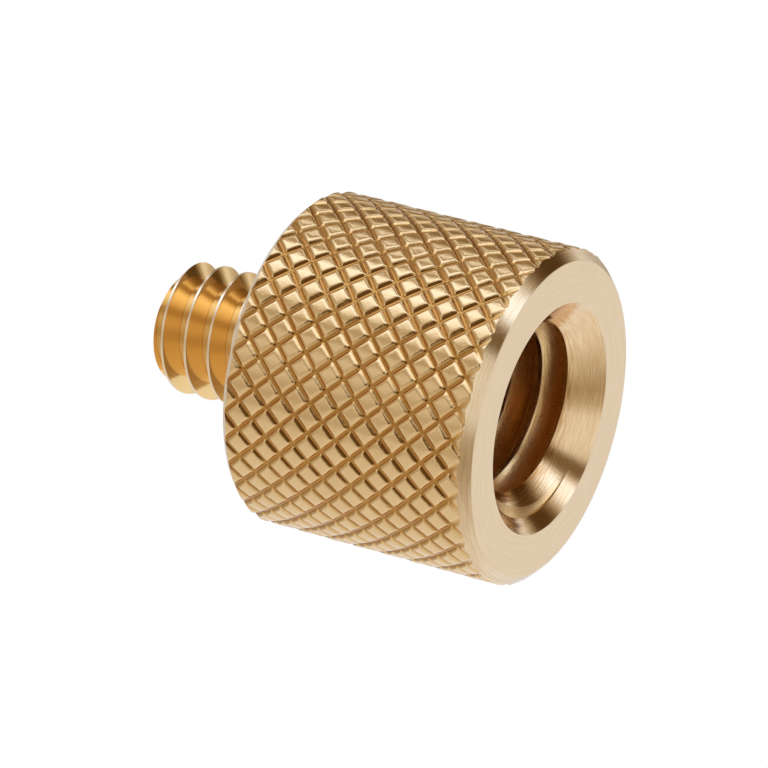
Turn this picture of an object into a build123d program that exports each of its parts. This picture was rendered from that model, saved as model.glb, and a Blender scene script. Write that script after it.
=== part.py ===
from build123d import *
from build123d.topology import SkipClean
from math import ceil, cos, pi, radians, sin, tan
import os

# Head: the barrel that the fingers turn, standing on its socket end
head_diameter = 16.0
head_length = 13.0
front_chamfer = 0.5
rear_chamfer = 0.35

# Diamond knurl round the head
groove_count = 34
groove_angle = 45.0
groove_width = 0.34
groove_depth = 0.22
first_crossing = 0.23

# Socket: 3/8 inch, 16 threads per inch, tapped into the head
countersink_diameter = 11.0
countersink_angle = 90.0
socket_bore_diameter = 7.94
socket_bore_depth = 9.8
drill_point_angle = 118.0

# Stud: 1/4 inch, 20 threads per inch, standing on the head above a short neck
stud_diameter = 6.35
stud_length = 7.0
stud_chamfer = 0.7
thread_pitch = 1.27
thread_root_diameter = 4.79
thread_angle = 60.0
crest_share = 1 / 8
first_crest = 0.15
neck_length = 1.35
neck_clearance = 0.05
neck_angle = 45.0

# Each turn of the thread's crest is this many faces, and its cutter overruns the metal a little
crest_patches = 10
cutter_overrun = 0.1

head_radius = head_diameter / 2
stud_radius = stud_diameter / 2
thread_root_radius = thread_root_diameter / 2
neck_radius = thread_root_radius - neck_clearance
bore_radius = socket_bore_diameter / 2
overall_length = head_length + stud_length

# The knurl's rows of points lie half a groove spacing apart along the head
sector = 2 * pi / groove_count
row_rise = head_radius * sector / 2 / tan(radians(groove_angle))
root_radius = head_radius - groove_depth
flank_slope = groove_depth / (groove_width / 2)
half_spacing = head_radius * sector / 2 * cos(radians(groove_angle))
apex_radius = root_radius + half_spacing * flank_slope


def around(radius, angle, height):
    """The point at a radius and an angle about the axis."""
    return Vector(radius * cos(angle), radius * sin(angle), height)


def panel(*corners):
    """A flat face through three or more corners."""
    return Face(Wire.make_polygon(corners, close=True))


def knurl_point(height):
    """The five faces of one knurl point: a four-sided pyramid with its tip cut flat.

    Its base corners lie where grooves cross, so that neighbours share base edges.
    """
    base = [
        around(root_radius, -sector / 2, height),
        around(root_radius, 0, height - row_rise),
        around(root_radius, sector / 2, height),
        around(root_radius, 0, height + row_rise),
    ]
    apex = Vector(apex_radius, 0, height)
    top = [b + (apex - b) * ((head_radius - b.X) / (apex_radius - b.X)) for b in base]
    flanks = [panel(base[i - 1], base[i], top[i], top[i - 1]) for i in range(4)]
    return flanks + [panel(*top)]


def closing_cone(height, rise, tip_height):
    """The two faces that join one root corner of an end row to a tip on the axis."""
    left = around(root_radius, -sector / 2, height)
    right = around(root_radius, sector / 2, height)
    middle = around(root_radius, 0, height + rise)
    tip = Vector(0, 0, tip_height)
    return [panel(left, middle, tip), panel(middle, right, tip)]


def knurled_bar():
    """A bar knurled past both ends of the head, pointed at its own ends."""
    rows = ceil(head_length / row_rise) + 1
    faces = []

    def place(pieces, row):
        for piece in pieces:
            for i in range(groove_count):
                turn = (i + row / 2) * 360 / groove_count
                faces.append(piece.rotate(Axis.Z, turn))

    for row in range(-1, rows + 1):
        place(knurl_point(first_crossing + row * row_rise), row)
    bottom = first_crossing - row_rise
    place(closing_cone(bottom, -row_rise, bottom - head_radius), -1)
    top = first_crossing + rows * row_rise
    place(closing_cone(top, row_rise, top + 4 * stud_length), rows)
    return Solid(Shell(faces))


def turned_blank():
    """The turned form: head with its chamfers, socket bore, neck and stud before threading.

    Past the knurl the chamfers run on outwards, so that they trim it alone.
    """
    rim = (head_length - front_chamfer - rear_chamfer) / 2
    countersink_radius = countersink_diameter / 2
    countersink_depth = (countersink_radius - bore_radius) / tan(radians(countersink_angle / 2))
    point_depth = bore_radius / tan(radians(drill_point_angle / 2))
    neck_end = head_length + neck_length
    neck_cone = (stud_radius - neck_radius) / tan(radians(neck_angle))
    outline = Polyline(
        (0, socket_bore_depth + point_depth),
        (bore_radius, socket_bore_depth),
        (bore_radius, countersink_depth),
        (countersink_radius, 0),
        (head_radius - front_chamfer, 0),
        (head_radius + rim, front_chamfer + rim),
        (head_radius - rear_chamfer, head_length),
        (neck_radius, head_length),
        (neck_radius, neck_end),
        (stud_radius, neck_end + neck_cone),
        (stud_radius, overall_length - stud_chamfer),
        (stud_radius - stud_chamfer, overall_length),
        (0, overall_length),
        close=True,
    )
    return revolve(Plane.XZ * make_face(outline), Axis.Z).solid()


def thread_slot():
    """Half a turn of the space between two crests, a tapered slot swept along a helix.

    A crest takes its share of the pitch, and the slot opens outwards past the crests.
    """
    flank = tan(radians(thread_angle / 2))
    slot_half = thread_pitch * (1 - crest_share) / 2
    root_half = slot_half - (stud_radius - thread_root_radius) * flank
    open_half = slot_half + cutter_overrun * flank
    profile = Polyline(
        (thread_root_radius, -root_half),
        (stud_radius + cutter_overrun, -open_half),
        (stud_radius + cutter_overrun, open_half),
        (thread_root_radius, root_half),
        close=True,
    )
    rise = thread_pitch / 2
    path = Helix(thread_pitch, rise, stud_radius)
    axis_line = Edge.make_line((0, 0, 0), (0, 0, rise))
    return sweep(Plane.XZ * make_face(profile), path=path, binormal=axis_line).solid()


def with_thread(blank):
    """The blank with its stud threaded half a turn at a time, from the neck to past the tip."""
    slot = thread_slot()
    start = head_length + first_crest + thread_pitch / 2
    half_turns = ceil((overall_length + thread_pitch - start) / (thread_pitch / 2))
    for i in range(half_turns):
        blank = blank.cut(Pos(0, 0, start + i * thread_pitch / 2) * Rot(0, 0, 180 * i) * slot)
    return blank


def with_short_crests(solid):
    """The same solid, with the stud's long crest faces divided by planes through the axis."""
    faces = list(solid.faces())
    for i in range(crest_patches // 2):
        turn = radians((i + 1 / 4) * 360 / crest_patches)
        divider = Plane((0, 0, 0), z_dir=around(1, turn, 0))
        patches = []
        for face in faces:
            if face.geom_type == GeomType.CYLINDER and face.center().Z > head_length:
                patches += face.split(divider, keep=Keep.ALL)
            else:
                patches.append(face)
        faces = patches
    return Solid(Shell(faces))


def thread_adapter():
    """The whole adapter, one piece of bar: turned, threaded and knurled."""
    with SkipClean():
        threaded = with_short_crests(with_thread(turned_blank()))
        return threaded.intersect(knurled_bar())[0]


os.makedirs("parts", exist_ok=True)
adapter = thread_adapter()
export_step(adapter, "parts/thread_adapter.step")
print("thread_adapter", round(adapter.volume, 1), "mm3")
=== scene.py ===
import math
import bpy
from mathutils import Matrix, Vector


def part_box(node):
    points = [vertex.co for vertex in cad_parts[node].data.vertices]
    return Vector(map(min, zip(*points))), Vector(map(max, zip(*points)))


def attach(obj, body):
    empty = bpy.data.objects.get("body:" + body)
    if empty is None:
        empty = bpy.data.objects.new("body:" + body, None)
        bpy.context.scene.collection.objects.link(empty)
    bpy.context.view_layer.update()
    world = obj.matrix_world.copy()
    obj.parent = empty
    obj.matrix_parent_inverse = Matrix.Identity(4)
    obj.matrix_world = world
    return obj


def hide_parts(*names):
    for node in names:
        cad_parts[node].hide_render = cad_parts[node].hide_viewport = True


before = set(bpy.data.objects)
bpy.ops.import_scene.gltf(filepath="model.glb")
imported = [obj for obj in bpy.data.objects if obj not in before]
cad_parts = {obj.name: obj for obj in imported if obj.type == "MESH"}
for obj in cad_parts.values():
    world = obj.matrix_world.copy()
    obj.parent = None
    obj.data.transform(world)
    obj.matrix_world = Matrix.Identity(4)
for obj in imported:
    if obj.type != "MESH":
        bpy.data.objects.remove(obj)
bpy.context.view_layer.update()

from types import SimpleNamespace

import bmesh
import bpy
import numpy as np
from mathutils import Matrix, Vector

NODE = "thread_adapter"
low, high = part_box(NODE)

# Lengths are in millimetres until the finished mesh is scaled to the frame's metres
MM = 0.001
overall_length = (high.z - low.z) / MM
head_radius = 8.0
head_length = 13.0
front_chamfer = 0.5
rear_chamfer = 0.35
edge_break = 0.05

# Diamond knurl. Half a groove is given as points of (distance from its middle, height)
groove_count = 34
groove_depth = 0.15
half_groove = [
    (0.0, -groove_depth),
    (0.05, 0.01 - groove_depth),
    (0.14, -0.055),
    (0.20, -0.02),
    (0.29, -0.004),
]
point_height = 0.003
first_crossing = 0.23

# The knurl's points lean at random, their surface wavers, and the grooves fade at the front rim
lean_seed = 7
point_lean = 0.024
leaning_band = 0.04
waver_height = 0.0025
wavers = [(61, 3.1), (-47, 4.3), (23, -5.7)]
rim_depth_share = 0.5
rim_fade_start = 0.3
rim_fade_length = 0.9

# Socket and its thread
countersink_radius = 5.5
bore_radius = 3.85
bore_depth = 9.8
drill_point_depth = 2.4
socket_major_radius = 4.95
socket_root_half_width = 0.05
socket_pitch = 1.5875
socket_first_crest = 0.80
socket_thread_length = 8.8

# Stud and its thread
stud_radius = 3.175
stud_root_radius = 2.395
stud_pitch = 1.27
stud_crest_half_width = stud_pitch / 22
stud_crest_break = 0.02
stud_first_crest = 0.15
stud_chamfer = 0.7
neck_radius = 2.345
neck_length = 1.35
stud_sunk = 0.8

# The flanks of both threads stand at 30 degrees to a plane across the axis
flank_slope = math.tan(math.radians(30))

# Cutters run past the metal, and the tips of the cones that close a rod lie well beyond it
cutter_overrun = 1.0
chamfer_overrun = 3.0
cone_reach = 3.0

LATHE_STEPS = 288
THREAD_STEPS = 144


def smoothstep(x):
    """A smooth rise from 0 to 1 for x from 0 to 1."""
    x = np.clip(x, 0, 1)
    return x * x * (3 - 2 * x)


def open_loop(edge):
    """The open edge and all open edges that it is linked to."""
    loop = {}
    stack = [edge]
    while stack:
        edge = stack.pop()
        if edge in loop:
            continue
        loop[edge] = True
        for vert in edge.verts:
            stack += [e for e in vert.link_edges if e.is_boundary and e not in loop]
    return loop


def close_ends(work):
    """Close each open end of a rod with a cone to a point on the axis."""
    levels = [v.co.z for v in work.verts]
    middle = (min(levels) + max(levels)) / 2
    edges = [e for e in work.edges if e.is_boundary]
    while edges:
        loop = open_loop(edges[0])
        heights = [v.co.z for e in loop for v in e.verts]
        upper = sum(heights) / len(heights) > middle
        tip = work.verts.new((0, 0, max(heights) + cone_reach if upper else min(heights) - cone_reach))
        for edge in loop:
            work.faces.new((edge.verts[0], edge.verts[1], tip))
        edges = [e for e in edges if e not in loop]


def mesh_object(name, vertices, faces, merge=0.0, closed=True):
    """An object from points and faces, with near points merged and open ends closed."""
    mesh = bpy.data.meshes.new(name)
    mesh.from_pydata([tuple(map(float, v)) for v in vertices], [], faces)
    work = bmesh.new()
    work.from_mesh(mesh)
    if merge:
        bmesh.ops.remove_doubles(work, verts=work.verts, dist=merge)
    if not closed:
        close_ends(work)
    bmesh.ops.recalc_face_normals(work, faces=work.faces)
    work.to_mesh(mesh)
    work.free()
    obj = bpy.data.objects.new(name, mesh)
    bpy.context.scene.collection.objects.link(obj)
    return obj


def lathe(name, outline):
    """A closed outline of (radius, height) points turned about the axis."""
    angles = [2 * math.pi * i / LATHE_STEPS for i in range(LATHE_STEPS)]
    vertices = []
    rings = []
    for r, z in outline:
        if r == 0:
            rings.append([len(vertices)] * LATHE_STEPS)
            vertices.append((0, 0, z))
        else:
            rings.append(list(range(len(vertices), len(vertices) + LATHE_STEPS)))
            vertices += [(r * math.cos(a), r * math.sin(a), z) for a in angles]
    faces = []
    for ring, following in zip(rings, rings[1:] + rings[:1]):
        for i in range(LATHE_STEPS):
            j = (i + 1) % LATHE_STEPS
            corners = list(dict.fromkeys([ring[i], ring[j], following[j], following[i]]))
            if len(corners) > 2:
                faces.append(corners)
    return mesh_object(name, vertices, faces, merge=1e-5)


def with_broken_edges(corners, broken):
    """An outline in which the corners of the given numbers are rounded off by the edge break."""
    points = []
    for i, corner in enumerate(corners):
        if i not in broken:
            points.append(corner)
            continue
        here = Vector(corner)
        before = (Vector(corners[i - 1]) - here).normalized() * edge_break
        after = (Vector(corners[i + 1]) - here).normalized() * edge_break
        # This point, between the two ends of the break and the corner, makes it round
        middle = (before + after) * 0.29
        for place in (before * 2, before, middle, after, after * 2):
            points.append(tuple(here + place))
    return points


def threaded_rod(name, pitch, profile, start, turns):
    """A rod whose profile of (radius, height) points over one pitch, widest first, is a helix.

    Each row of points climbs by one pitch, so that its end meets the start of a higher row.
    """
    count = len(profile)
    rows = count * turns + 1
    vertices = []
    for m in range(rows):
        r, dz = profile[m % count]
        for j in range(THREAD_STEPS):
            a = 2 * math.pi * j / THREAD_STEPS
            z = start + (m // count) * pitch + dz + pitch * j / THREAD_STEPS
            vertices.append((r * math.cos(a), r * math.sin(a), z))
    faces = []
    for m in range(rows - 1):
        below = m * THREAD_STEPS
        above = below + THREAD_STEPS
        faces += [[below + j, below + j + 1, above + j + 1, above + j] for j in range(THREAD_STEPS - 1)]
        if m + 1 + count < rows:
            after = (m + count) * THREAD_STEPS
            faces.append([above - 1, after, after + THREAD_STEPS, above + THREAD_STEPS - 1])
    return mesh_object(name, vertices, faces, closed=False)


def knurl_point(half_spacing):
    """A grid over one point of the knurl: the places along both grooves, and the height there."""
    distance = np.array([x for x, _ in half_groove] + [half_spacing])
    height = np.array([y for _, y in half_groove] + [point_height])
    places = np.concatenate([distance, 2 * half_spacing - distance[-2::-1]]) / (2 * half_spacing) - 0.5
    line = np.concatenate([height, height[-2::-1]])
    s, t = np.meshgrid(places, places, indexing="ij")
    return s, t, np.minimum(line[:, None], line[None, :])


def knurled_bar():
    """The head's bar with its diamond knurl, longer than the head at both ends."""
    sector = 2 * math.pi / groove_count
    rise = head_radius * sector / 2
    s, t, cell = knurl_point(rise * math.cos(math.pi / 4))
    top = smoothstep((cell + leaning_band) / leaning_band)
    rng = np.random.default_rng(lean_seed)
    n = len(s)
    rows = int(math.ceil(head_length / rise)) + 1
    vertices = []
    faces = []
    for row in range(-1, rows + 1):
        for i in range(groove_count):
            lean = rng.normal(0, point_lean, 2)
            z = first_crossing + row * rise + (s - t) * rise
            fade = smoothstep((z - rim_fade_start) / rim_fade_length)
            depth = rim_depth_share + (1 - rim_depth_share) * fade
            angle = (i + row / 2 + (s + t) / 2) * sector
            waver = sum(np.sin(around * angle + along * z) for around, along in wavers)
            r = head_radius + cell * depth + top * (lean[0] * s + lean[1] * t) + waver_height * waver
            base = len(vertices)
            vertices += list(zip((r * np.cos(angle)).ravel(), (r * np.sin(angle)).ravel(), z.ravel()))
            for p in range(n - 1):
                for q in range(n - 1):
                    a = base + p * n + q
                    faces.append([a, a + n, a + n + 1, a + 1])
    return mesh_object("bar", vertices, faces, merge=1e-4, closed=False)


def combine(base, cutter, operation):
    """Apply a boolean of two closed meshes to the first, and delete the second."""
    modifier = base.modifiers.new("boolean", "BOOLEAN")
    modifier.operation = operation
    modifier.solver = "MANIFOLD"
    modifier.object = cutter
    bpy.context.view_layer.update()
    graph = bpy.context.evaluated_depsgraph_get()
    mesh = bpy.data.meshes.new_from_object(base.evaluated_get(graph))
    base.modifiers.clear()
    base.data = mesh
    bpy.data.objects.remove(cutter)
    return base


def tap():
    """The tool that cuts the socket's thread, down to the thread's length."""
    inner_radius = bore_radius - 0.2
    inner_half_width = socket_root_half_width + (socket_major_radius - inner_radius) * flank_slope
    half = [
        (socket_major_radius, 0),
        (socket_major_radius, socket_root_half_width),
        (inner_radius, inner_half_width),
    ]
    back = [(r, socket_pitch - dz) for r, dz in half[:0:-1]]
    start = socket_first_crest - 1.5 * socket_pitch
    rod = threaded_rod("tap", socket_pitch, half + back, start, turns=7)
    limit_radius = socket_major_radius + 0.25
    limit = lathe("limit", [
        (0, -0.5),
        (limit_radius, -0.5),
        (limit_radius, socket_thread_length),
        (0, socket_thread_length),
    ])
    return combine(rod, limit, "INTERSECT")


def head_mesh():
    """The knurled head with both chamfers, its countersink and its threaded socket."""
    face_radius = head_radius - front_chamfer
    rear_radius = head_radius - rear_chamfer
    outline = with_broken_edges([
        (0, 0),
        (face_radius, 0),
        (face_radius + chamfer_overrun, chamfer_overrun),
        (rear_radius + chamfer_overrun, head_length - chamfer_overrun),
        (rear_radius, head_length),
        (0, head_length),
    ], (1, 4))
    head = combine(knurled_bar(), lathe("envelope", outline), "INTERSECT")
    bore = lathe("bore", [
        (0, -cutter_overrun),
        (countersink_radius + cutter_overrun, -cutter_overrun),
        (countersink_radius, 0),
        (bore_radius, countersink_radius - bore_radius),
        (bore_radius, bore_depth),
        (0, bore_depth + drill_point_depth),
    ])
    return combine(combine(head, bore, "DIFFERENCE"), tap(), "DIFFERENCE")


def stud_mesh():
    """The threaded stud on its plain neck, sunk a little into the head."""
    root_height = stud_crest_half_width + (stud_radius - stud_root_radius) * flank_slope
    half = [
        (stud_radius, 0),
        (stud_radius, stud_crest_half_width),
        (stud_radius - stud_crest_break, stud_crest_half_width + stud_crest_break * flank_slope),
        (stud_root_radius, root_height),
    ]
    middle = [(stud_root_radius, stud_pitch / 2)]
    back = [(r, stud_pitch - dz) for r, dz in half[:0:-1]]
    start = head_length + stud_first_crest - 3 * stud_pitch
    rod = threaded_rod("rod", stud_pitch, half + middle + back, start, turns=10)
    clear_radius = stud_radius + 0.01
    outline = with_broken_edges([
        (0, head_length - stud_sunk),
        (neck_radius, head_length - stud_sunk),
        (neck_radius, head_length + neck_length),
        (clear_radius, head_length + neck_length + stud_radius - neck_radius),
        (clear_radius, overall_length - stud_chamfer),
        (stud_radius - stud_chamfer, overall_length),
        (0, overall_length),
    ], (5,))
    return combine(lathe("stud", outline), rod, "INTERSECT")


def sharpen_knurl_ends(mesh):
    """Keep the shading of the knurl's ends apart from that of the cones that trim it."""
    front = head_radius - front_chamfer
    rear = head_radius - rear_chamfer + head_length
    tolerance = 0.002
    deepest = head_radius - 0.22
    radii = [math.hypot(v.co.x, v.co.y) for v in mesh.vertices]
    on_cone = [min(abs(r - v.co.z - front), abs(r + v.co.z - rear)) < tolerance
               for r, v in zip(radii, mesh.vertices)]
    kinds = {}
    for face in mesh.polygons:
        conical = all(on_cone[i] for i in face.vertices)
        for key in face.edge_keys:
            kinds.setdefault(key, set()).add(conical)
    for edge in mesh.edges:
        outside = min(radii[i] for i in edge.vertices) > deepest
        if outside and len(kinds[edge.key]) == 2:
            edge.use_edge_sharp = True


def finished(obj, name):
    """Clean a millimetre mesh, shade it smooth between sharp edges and scale it to metres."""
    work = bmesh.new()
    work.from_mesh(obj.data)
    bmesh.ops.remove_doubles(work, verts=work.verts, dist=2e-4)
    bmesh.ops.dissolve_degenerate(work, edges=work.edges, dist=1e-4)
    bmesh.ops.recalc_face_normals(work, faces=work.faces)
    work.to_mesh(obj.data)
    work.free()
    obj.data.shade_smooth()
    obj.data.set_sharp_from_angle(angle=math.radians(30))
    sharpen_knurl_ends(obj.data)
    obj.data.transform(Matrix.Scale(MM, 4))
    obj.name = name
    obj.data.name = name
    return obj


class Nodes:
    """Short calls for a node tree's nodes."""

    def __init__(self, tree):
        self.tree = tree
        tree.nodes.clear()

    def add(self, kind, inputs=(), **settings):
        node = self.tree.nodes.new(kind)
        for name, value in settings.items():
            setattr(node, name, value)
        for socket, value in dict(inputs).items():
            if isinstance(value, bpy.types.NodeSocket):
                self.tree.links.new(value, node.inputs[socket])
            else:
                node.inputs[socket].default_value = value
        return node

    def math(self, operation, a, b=0.0, c=0.0, clamp=False):
        node = self.add("ShaderNodeMath", {0: a, 1: b, 2: c}, operation=operation, use_clamp=clamp)
        return node.outputs[0]

    def product(self, value, *others):
        for other in others:
            value = self.math("MULTIPLY", value, other)
        return value

    def step(self, value, start, end, low=0.0, high=1.0):
        """A smooth passage from low to high, as the value goes from start to end."""
        inputs = {"Value": value, "From Min": start, "From Max": end, "To Min": low, "To Max": high}
        node = self.add("ShaderNodeMapRange", inputs, interpolation_type="SMOOTHSTEP")
        return node.outputs["Result"]

    def dot(self, value, vector):
        node = self.add("ShaderNodeVectorMath", {0: value, 1: tuple(vector)}, operation="DOT_PRODUCT")
        return node.outputs["Value"]

    def mix(self, factor, a, b):
        """A colour between two colours."""
        node = self.add("ShaderNodeMix", {0: factor, 6: a, 7: b}, data_type="RGBA")
        return node.outputs[2]

    def blend(self, factor, a, b):
        """A value between two values."""
        node = self.add("ShaderNodeMix", {0: factor, 2: a, 3: b}, data_type="FLOAT")
        return node.outputs[0]

    def ramp(self, value, stops):
        """A colour for a turn of 0 to 1, from a list of angles and light levels."""
        node = self.add("ShaderNodeValToRGB", {0: value})
        points = node.color_ramp.elements
        for angle, _ in stops[1:-1]:
            points.new(angle / 360 + 0.5)
        for point, (_, level) in zip(points, stops):
            point.color = tone(level)
        return node.outputs[0]

    def noise(self, place, scale, detail, roughness=0.5, turn=None):
        inputs = {"Vector": place, "Scale": scale, "Detail": detail, "Roughness": roughness}
        if turn is None:
            return self.add("ShaderNodeTexNoise", inputs).outputs[0]
        inputs["W"] = turn
        return self.add("ShaderNodeTexNoise", inputs, noise_dimensions="4D").outputs[0]

    def bump(self, height, distance, strength, normal=None):
        inputs = {"Height": height, "Distance": distance, "Strength": strength}
        if normal is not None:
            inputs["Normal"] = normal
        return self.add("ShaderNodeBump", inputs).outputs[0]


def point_in_part(n):
    """The shaded point: its place in metres, and its radius and height in millimetres."""
    place = n.add("ShaderNodeTexCoord").outputs["Object"]
    x, y, z = n.add("ShaderNodeSeparateXYZ", {0: place}).outputs
    radius = n.math("SQRT", n.math("ADD", n.product(x, x), n.product(y, y)))
    return SimpleNamespace(
        place=place,
        x_share=n.math("DIVIDE", x, radius),
        y_share=n.math("DIVIDE", y, radius),
        r=n.product(radius, 1 / MM),
        z=n.product(z, 1 / MM),
    )


def surfaces(n, at):
    """How much the shaded point belongs to each surface of the adapter, from 0 to 1."""
    outward = n.math("ADD", at.r, at.z)
    inward = n.math("SUBTRACT", at.r, at.z)
    front_cone = head_radius - front_chamfer
    rear_cone = head_radius - rear_chamfer + head_length
    knurl = n.product(
        n.step(at.r, head_radius - 0.4, head_radius - 0.3),
        n.step(inward, front_cone + 0.01, front_cone - 0.03),
        n.step(outward, rear_cone, rear_cone - 0.04),
    )
    stud = n.step(at.z, head_length + 0.02, head_length + 0.1)
    return SimpleNamespace(
        face=n.step(at.z, 0.04, 0.01),
        knurl=knurl,
        groove=n.product(knurl, n.step(at.r, head_radius - 0.045, head_radius - 0.12)),
        groove_bottom=n.product(knurl, n.step(at.r, head_radius - 0.1, head_radius - 0.135)),
        countersink=n.product(
            n.step(at.r, countersink_radius + 0.02, countersink_radius - 0.02),
            n.step(at.z, 0.01, 0.06),
            n.step(at.z, 3.0, 2.8),
        ),
        socket=n.product(
            n.step(at.r, 5.1, 5.0),
            n.step(outward, countersink_radius + 0.01, countersink_radius + 0.05),
            n.step(at.z, head_length - 0.1, head_length - 0.2),
        ),
        socket_thread=n.step(at.r, bore_radius + 0.02, bore_radius + 0.08),
        stud=stud,
        stud_root=n.step(at.r, stud_root_radius + 0.03, stud_root_radius + 0.01),
        stud_crest=n.product(stud, n.step(at.r, stud_radius - 0.016, stud_radius - 0.006)),
    )


def textures(n, at):
    """Noises of the surface: lines that run round the axis as a lathe tool leaves them, and others."""
    ring = n.add("ShaderNodeCombineXYZ", {0: at.r, 1: at.z, 2: n.product(at.x_share, 0.25)}).outputs[0]
    turn = n.product(at.y_share, 0.25)
    return SimpleNamespace(
        broad_lines=n.noise(ring, 3.2, 2.0, 0.6, turn),
        fine_lines=n.noise(ring, 18.0, 3.0, 0.6, turn),
        grain=n.noise(at.place, 7000.0, 3.0, 0.6),
        dents=n.noise(at.place, 2600.0, 4.0, 0.7),
        cloud=n.noise(at.place, 650.0, 3.0),
    )


# Colours of the brass, several holding painted shade and painted light as marked. The two of a pair are
# mixed by the cloudy polish or by the turned lines
CUT = (0.79, 0.59, 0.35, 1), (0.85, 0.65, 0.41, 1)
# Painted reflection: turned lines drawn darker, as streaks over the real tool marks
CUT_LINE_SHADE = (0.60, 0.41, 0.22, 1)
# Painted shade: a browner countersink, darker turned lines in it, and a darker ring where it meets the
# bore
COUNTERSINK_SHADE = (0.85, 0.59, 0.31, 1)
COUNTERSINK_LINE_SHADE = (0.52, 0.27, 0.09, 1)
COUNTERSINK_END_SHADE = (0.42, 0.19, 0.05, 1)
KNURL = (0.74, 0.49, 0.225, 1), (0.89, 0.615, 0.315, 1)
# Painted shade: knurl grooves drawn darker than the points, darkest at their bottoms
GROOVE_SHADE = (0.68, 0.37, 0.105, 1)
GROOVE_BOTTOM_SHADE = (0.44, 0.20, 0.045, 1)
# Painted shade: the crests of the socket's thread drawn darker, to dim their pale reflection
SOCKET_CREST_SHADE = (0.72, 0.49, 0.28, 1), (0.54, 0.33, 0.16, 1)
# Painted light: the socket's thread drawn brighter, standing in for the golden glow of light bouncing in
# it
SOCKET_THREAD_LIGHT = (0.98, 0.68, 0.32, 1), (0.90, 0.56, 0.23, 1)
STUD_FLANK = (0.82, 0.54, 0.22, 1), (0.89, 0.60, 0.26, 1)
# Painted shade: the root of the stud's thread drawn darker
STUD_ROOT_SHADE = (0.70, 0.37, 0.10, 1)
# Painted highlight: the crests of the stud's thread drawn pale
STUD_CREST_HIGHLIGHT = (0.86, 0.68, 0.47, 1)


def brass_colour(n, at, on, noises):
    """Pale turned faces and golden flanks, with painted shade that browns the countersink and darkens the
    turned lines, the grooves, the socket's crests and the stud's thread roots, and painted light on the
    socket's thread and the stud's crests.
    """
    # Painted reflection: along the turned lines the colour darkens in streaks, on the cut faces and in
    # the socket
    line = n.step(noises.fine_lines, 0.35, 0.65)
    cut = n.mix(noises.cloud, *CUT)
    # Painted shade: the countersink is drawn browner than the other cut faces
    cut = n.mix(n.product(on.countersink, 0.7), cut, COUNTERSINK_SHADE)
    # Painted shade: the countersink's dark lines grow stronger towards the bore
    shade_towards_bore = n.step(at.r, 4.7, 3.9, 0.4, 1.0)
    line_shade_share = n.blend(on.countersink, n.blend(on.face, 0.7, 0.22), shade_towards_bore)
    line_shade_colour = n.mix(on.countersink, CUT_LINE_SHADE, COUNTERSINK_LINE_SHADE)
    cut = n.mix(n.product(line, line_shade_share), cut, line_shade_colour)
    # Painted shade: a darker streaky ring at the countersink's end by the bore
    countersink_end_shade = n.product(on.countersink, n.step(at.r, 4.3, 3.95, 0.0, 0.75),
                                n.step(noises.fine_lines, 0.3, 0.55))
    cut = n.mix(countersink_end_shade, cut, COUNTERSINK_END_SHADE)

    knurl = n.mix(noises.cloud, *KNURL)
    # Painted shade in the knurl's grooves, darker still at their bottoms
    knurl = n.mix(n.product(on.groove, 0.9), knurl, GROOVE_SHADE)
    knurl = n.mix(n.product(on.groove_bottom, 0.8), knurl, GROOVE_BOTTOM_SHADE)
    # Painted shade on the socket's crests and painted light on its thread, both streaked by the turned
    # lines
    socket = n.mix(on.socket_thread, n.mix(line, *SOCKET_CREST_SHADE), n.mix(line, *SOCKET_THREAD_LIGHT))
    # Painted shade at the root of the stud's thread
    stud = n.mix(on.stud_root, n.mix(noises.cloud, *STUD_FLANK), STUD_ROOT_SHADE)

    colour = n.mix(on.knurl, cut, knurl)
    colour = n.mix(on.socket, colour, socket)
    colour = n.mix(on.stud, colour, stud)
    # Painted highlight on the crests of the stud's thread
    return n.mix(on.stud_crest, colour, STUD_CREST_HIGHLIGHT)


def brass_roughness(n, on, noises):
    """Glossy metal, with duller clouds on the end face and in the socket's thread."""
    rough = n.blend(on.face, n.blend(noises.grain, 0.06, 0.18), n.blend(noises.cloud, 0.18, 0.32))
    rough = n.blend(on.knurl, rough, n.blend(noises.grain, 0.07, 0.21))
    crest = n.blend(noises.cloud, 0.08, 0.2)
    thread = n.blend(noises.cloud, 0.18, 0.36)
    rough = n.blend(on.socket, rough, n.blend(on.socket_thread, crest, thread))
    rough = n.blend(on.stud, rough, n.blend(noises.grain, 0.06, 0.18))
    return n.blend(on.stud_crest, rough, 0.22)


def brass_normal(n, on, noises):
    """Turned lines on the cut surfaces, and a fine grain that is strongest on the knurl."""
    line_height = n.math("ADD", n.product(noises.broad_lines, 3.0), noises.fine_lines)
    line_strength = n.blend(on.stud, n.blend(on.face, 0.8, 0.3), 0.1)
    lines = n.bump(line_height, 0.008 * MM, n.blend(on.knurl, line_strength, 0.0))
    dents = n.product(noises.dents, n.blend(on.knurl, 0.0, 2.5))
    grain_height = n.math("ADD", noises.grain, dents)
    grain_strength = n.blend(on.face, n.blend(on.socket, 0.1, 0.0), 0.03)
    return n.bump(grain_height, 0.01 * MM, n.blend(on.knurl, grain_strength, 0.5), lines)


def brass():
    """Bright turned brass, different from surface to surface."""
    material = bpy.data.materials.new("brass")
    material.use_nodes = True
    n = Nodes(material.node_tree)
    at = point_in_part(n)
    on = surfaces(n, at)
    noises = textures(n, at)
    shader = n.add("ShaderNodeBsdfPrincipled", {
        "Base Color": brass_colour(n, at, on, noises),
        "Metallic": 1.0,
        "Roughness": brass_roughness(n, on, noises),
        "Normal": brass_normal(n, on, noises),
    })
    n.add("ShaderNodeOutputMaterial", {"Surface": shader.outputs[0]})
    return material


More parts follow.
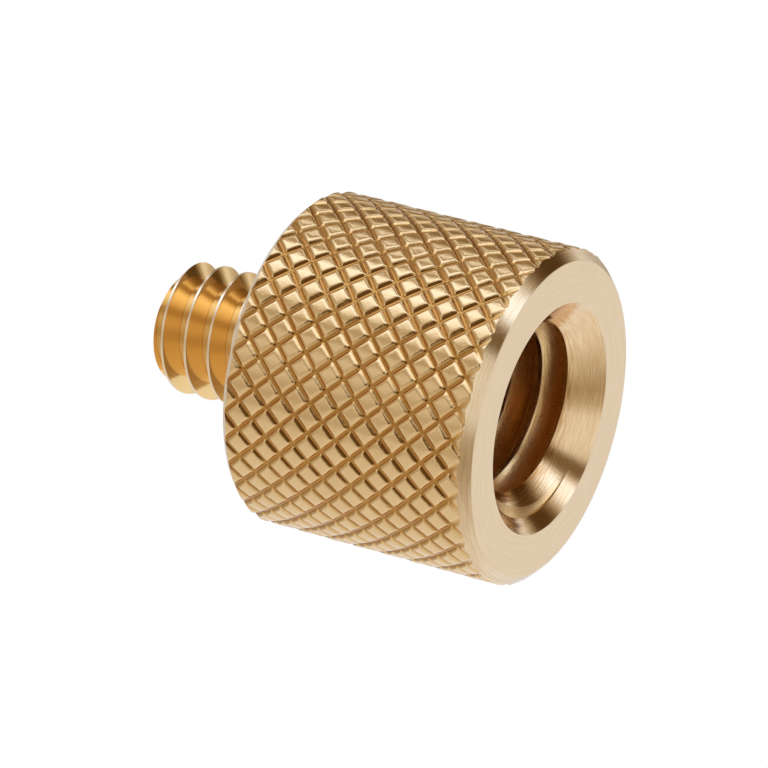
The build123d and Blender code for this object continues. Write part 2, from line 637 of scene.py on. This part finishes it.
def paper():
    """Pale paper that is clear when it is seen from below."""
    material = bpy.data.materials.new("paper")
    material.use_nodes = True
    n = Nodes(material.node_tree)
    matt = n.add("ShaderNodeBsdfDiffuse", {"Color": (0.86, 0.86, 0.86, 1)})
    clear = n.add("ShaderNodeBsdfTransparent")
    behind = n.add("ShaderNodeNewGeometry").outputs["Backfacing"]
    mixed = n.add("ShaderNodeMixShader", {0: behind, 1: matt.outputs[0], 2: clear.outputs[0]})
    n.add("ShaderNodeOutputMaterial", {"Surface": mixed.outputs[0]})
    return material


def studio_floor():
    """A floor just under the part, which takes its shadow and isn't mirrored in the metal."""
    floor_size = 1.2
    floor_height = -0.02 * MM
    bpy.ops.mesh.primitive_plane_add(size=floor_size, location=(0, 0, floor_height))
    floor = bpy.context.object
    floor.name = "floor"
    floor.data.materials.append(paper())
    floor.visible_diffuse = False
    floor.visible_glossy = False
    floor.visible_transmission = False
    floor.visible_shadow = False


# The camera stands where the photograph was taken from, below the end on which the part stands
camera_place = Vector((-4.135, -236.902, -108.592)) * MM
camera_turn = (153.0076, 60.1320, 58.6573)
camera_lens = 265.37


def make_camera():
    """The photograph's camera."""
    data = bpy.data.cameras.new("camera")
    data.lens = camera_lens
    data.sensor_width = 36.0
    data.clip_start = 0.01
    data.clip_end = 10
    camera = bpy.data.objects.new("camera", data)
    camera.location = camera_place
    camera.rotation_euler = [math.radians(a) for a in camera_turn]
    bpy.context.scene.collection.objects.link(camera)
    bpy.context.scene.camera = camera
    bpy.context.view_layer.update()
    return camera


# The studio's light levels as a turned surface shows them to the camera, at angles round the axis
# from the side nearest the camera: first on the barrel, then on a cone that faces the front
barrel_light = [
    (-180, 0.8), (-100, 0.95), (-75, 0.92), (-35, 0.8), (-24, 0.74), (-18, 0.57), (-12, 0.57),
    (-3, 0.8), (3, 0.76), (8, 0.5), (13, 0.52), (18, 1.0), (24, 1.4), (31, 1.75), (36, 1.15),
    (39, 0.4), (44, 0.42), (48, 1.35), (53, 0.52), (59, 0.22), (66, 0.22), (72, 0.46), (80, 0.6),
    (100, 0.75), (180, 0.8),
]
chamfer_light = [
    (-180, 0.8), (-110, 0.8), (-85, 1.05), (-55, 1.0), (-40, 0.75), (-22, 0.42), (-14, 0.55),
    (-6, 1.0), (9, 1.05), (15, 0.9), (19, 0.15), (25, 0.15), (28, 0.6), (32, 1.8), (40, 1.6),
    (46, 0.7), (51, 0.2), (56, 0.06), (70, 0.06), (76, 0.4), (83, 1.0), (95, 0.6), (110, 0.4),
    (180, 0.8),
]

# The light levels of surfaces that slope to the rear, face the rear, face the front or face the lens
rearward_level = 0.42
rear_level = 1.0
front_level = 0.95
lens_level = 0.09


def tone(level):
    """The colour of a light level: bright light is a little cool and dim light warm."""
    return 0.95 * level ** 0.78, level, 1.1 * level ** 1.4, 1


def studio_world(camera):
    """A white studio of lamps and dim panels, which only the metal's gloss shows.

    The direction in which a surface faces is halfway between a mirrored ray and the way to the camera.
    """
    away = -camera.matrix_world.to_3x3().col[2]
    world = bpy.data.worlds.new("studio")
    bpy.context.scene.world = world
    world.use_nodes = True
    n = Nodes(world.node_tree)
    ray = n.add("ShaderNodeTexCoord").outputs["Generated"]
    facing = n.add("ShaderNodeVectorMath", {0: ray, 1: tuple(away)}, operation="SUBTRACT").outputs[0]
    facing = n.add("ShaderNodeVectorMath", {0: facing}, operation="NORMALIZE").outputs[0]
    nearest = Vector((-away.x, -away.y, 0)).normalized()
    sideways = Vector((-nearest.y, nearest.x, 0))
    turned = n.math("ARCTAN2", n.dot(facing, sideways), n.dot(facing, nearest))
    turned = n.math("MULTIPLY_ADD", turned, 0.5 / math.pi, 0.5)
    tilt = n.dot(facing, (0, 0, 1))
    light = n.mix(n.step(tilt, -0.28, -0.55), n.ramp(turned, barrel_light), n.ramp(turned, chamfer_light))
    light = n.mix(n.step(tilt, 0.15, 0.42), light, tone(rearward_level))
    light = n.mix(n.step(tilt, 0.6, 0.8), light, tone(rear_level))
    light = n.mix(n.step(n.dot(facing, -away), 0.965, 0.988), light, tone(lens_level))
    light = n.mix(n.step(tilt, -0.86, -0.97), light, tone(front_level))
    path = n.add("ShaderNodeLightPath").outputs
    plain = n.math("ADD", path["Is Camera Ray"], path["Is Diffuse Ray"], clamp=True)
    colour = n.mix(plain, light, (1, 1, 1, 1))
    background = n.add("ShaderNodeBackground", {"Color": colour, "Strength": 1.0})
    n.add("ShaderNodeOutputWorld", {"Surface": background.outputs[0]})


bpy.context.scene.view_settings.view_transform = "Standard"
adapter = finished(combine(head_mesh(), stud_mesh(), "UNION"), "adapter")
adapter.data.materials.clear()
adapter.data.materials.append(brass())
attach(adapter, "root")
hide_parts(NODE)
studio_floor()
studio_world(make_camera())
